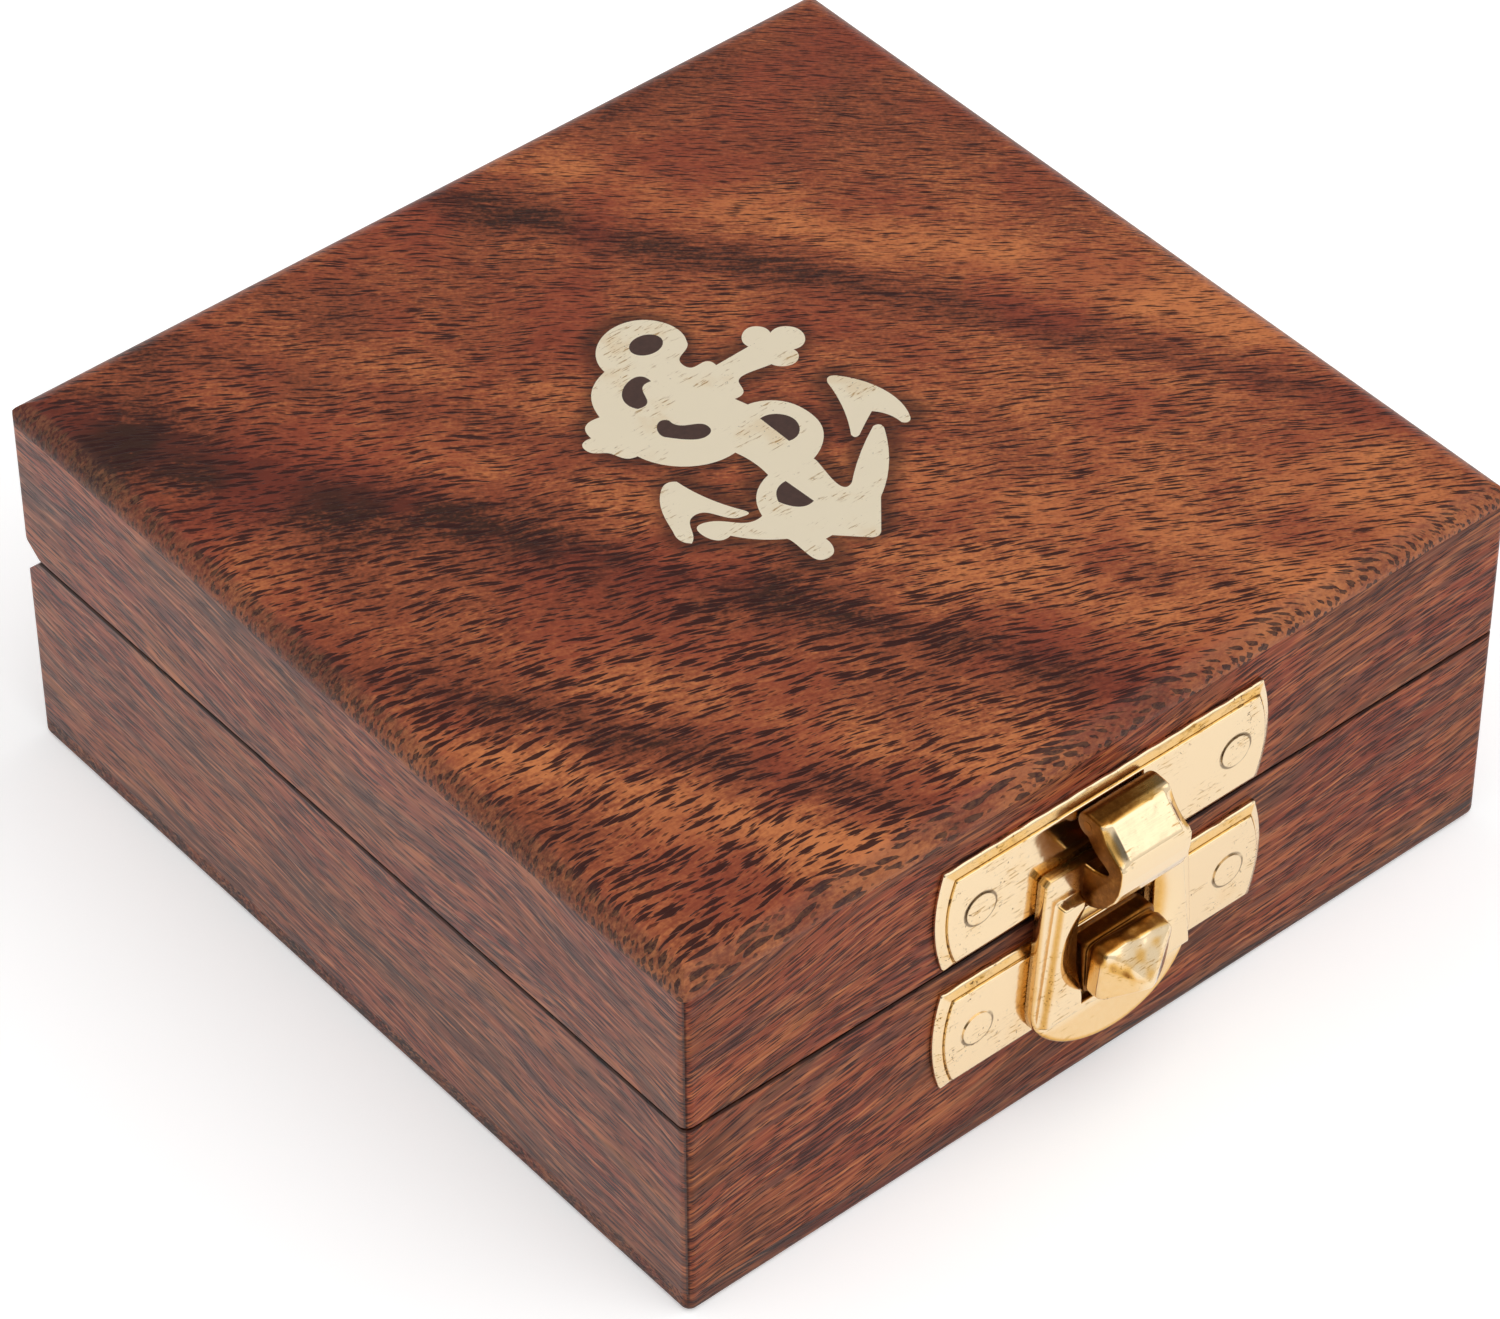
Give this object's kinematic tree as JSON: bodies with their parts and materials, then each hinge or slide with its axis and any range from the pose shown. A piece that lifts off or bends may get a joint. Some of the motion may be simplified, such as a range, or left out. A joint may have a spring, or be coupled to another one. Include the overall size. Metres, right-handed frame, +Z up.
{
  "type": "hinged wooden storage box",
  "caption": "Small square wooden keepsake box with a hinged lid, a brass inlay on top and a swinging brass hasp latch.",
  "frame": {"origin": "middle of the bottom face, on the surface that the box stands on", "axes": "+X along the front to the right, +Y towards the back hinges, +Z up through the lid"},
  "size_m": [0.1, 0.1079, 0.0432],
  "materials": {
    "rosewood": "waxed satin, open pores",
    "felt": "short felt pile",
    "inlay_brass": "sanded flush, pale",
    "dark_filler": "dark resin, sanded flush",
    "latch_brass": "polished cast brass with scratches"
  },
  "bodies": {
    "base": {"base_bottom_board": "rosewood", "base_front_wall": "rosewood", "base_right_wall": "rosewood", "base_back_wall": "rosewood", "base_left_wall": "rosewood", "base_felt_lining": "felt", "latch_lower_plate": "latch_brass", "latch_lower_nails": "latch_brass", "latch_knob": "latch_brass", "hinge_left_base_leaf": "latch_brass", "hinge_right_base_leaf": "latch_brass", "hinge_left_pin": "latch_brass", "hinge_right_pin": "latch_brass", "hinge_base_nails": "latch_brass"},
    "lid": {"lid_top_board": "rosewood", "lid_front_wall": "rosewood", "lid_right_wall": "rosewood", "lid_back_wall": "rosewood", "lid_left_wall": "rosewood", "lid_felt_lining": "felt", "anchor_body": "inlay_brass", "anchor_left_fluke": "inlay_brass", "anchor_right_fluke": "inlay_brass", "inlay_filler": "dark_filler", "latch_upper_plate": "latch_brass", "latch_upper_nails": "latch_brass", "latch_pin": "latch_brass", "hinge_left_lid_leaf": "latch_brass", "hinge_right_lid_leaf": "latch_brass", "hinge_lid_nails": "latch_brass"},
    "hasp": {"latch_hasp": "latch_brass"}
  },
  "joints": [
    {"name": "lid_hinge", "type": "hinge", "parent": "base", "child": "lid", "pos_m": [0, 0.0482, 0.0242], "axis": [-1, 0, 0], "range_deg": [0, 100]},
    {"name": "hasp_swing", "type": "hinge", "parent": "lid", "child": "hasp", "pos_m": [-0.001, -0.0526, 0.0354], "axis": [-1, 0, 0], "range_deg": [0, 90]}
  ]
}
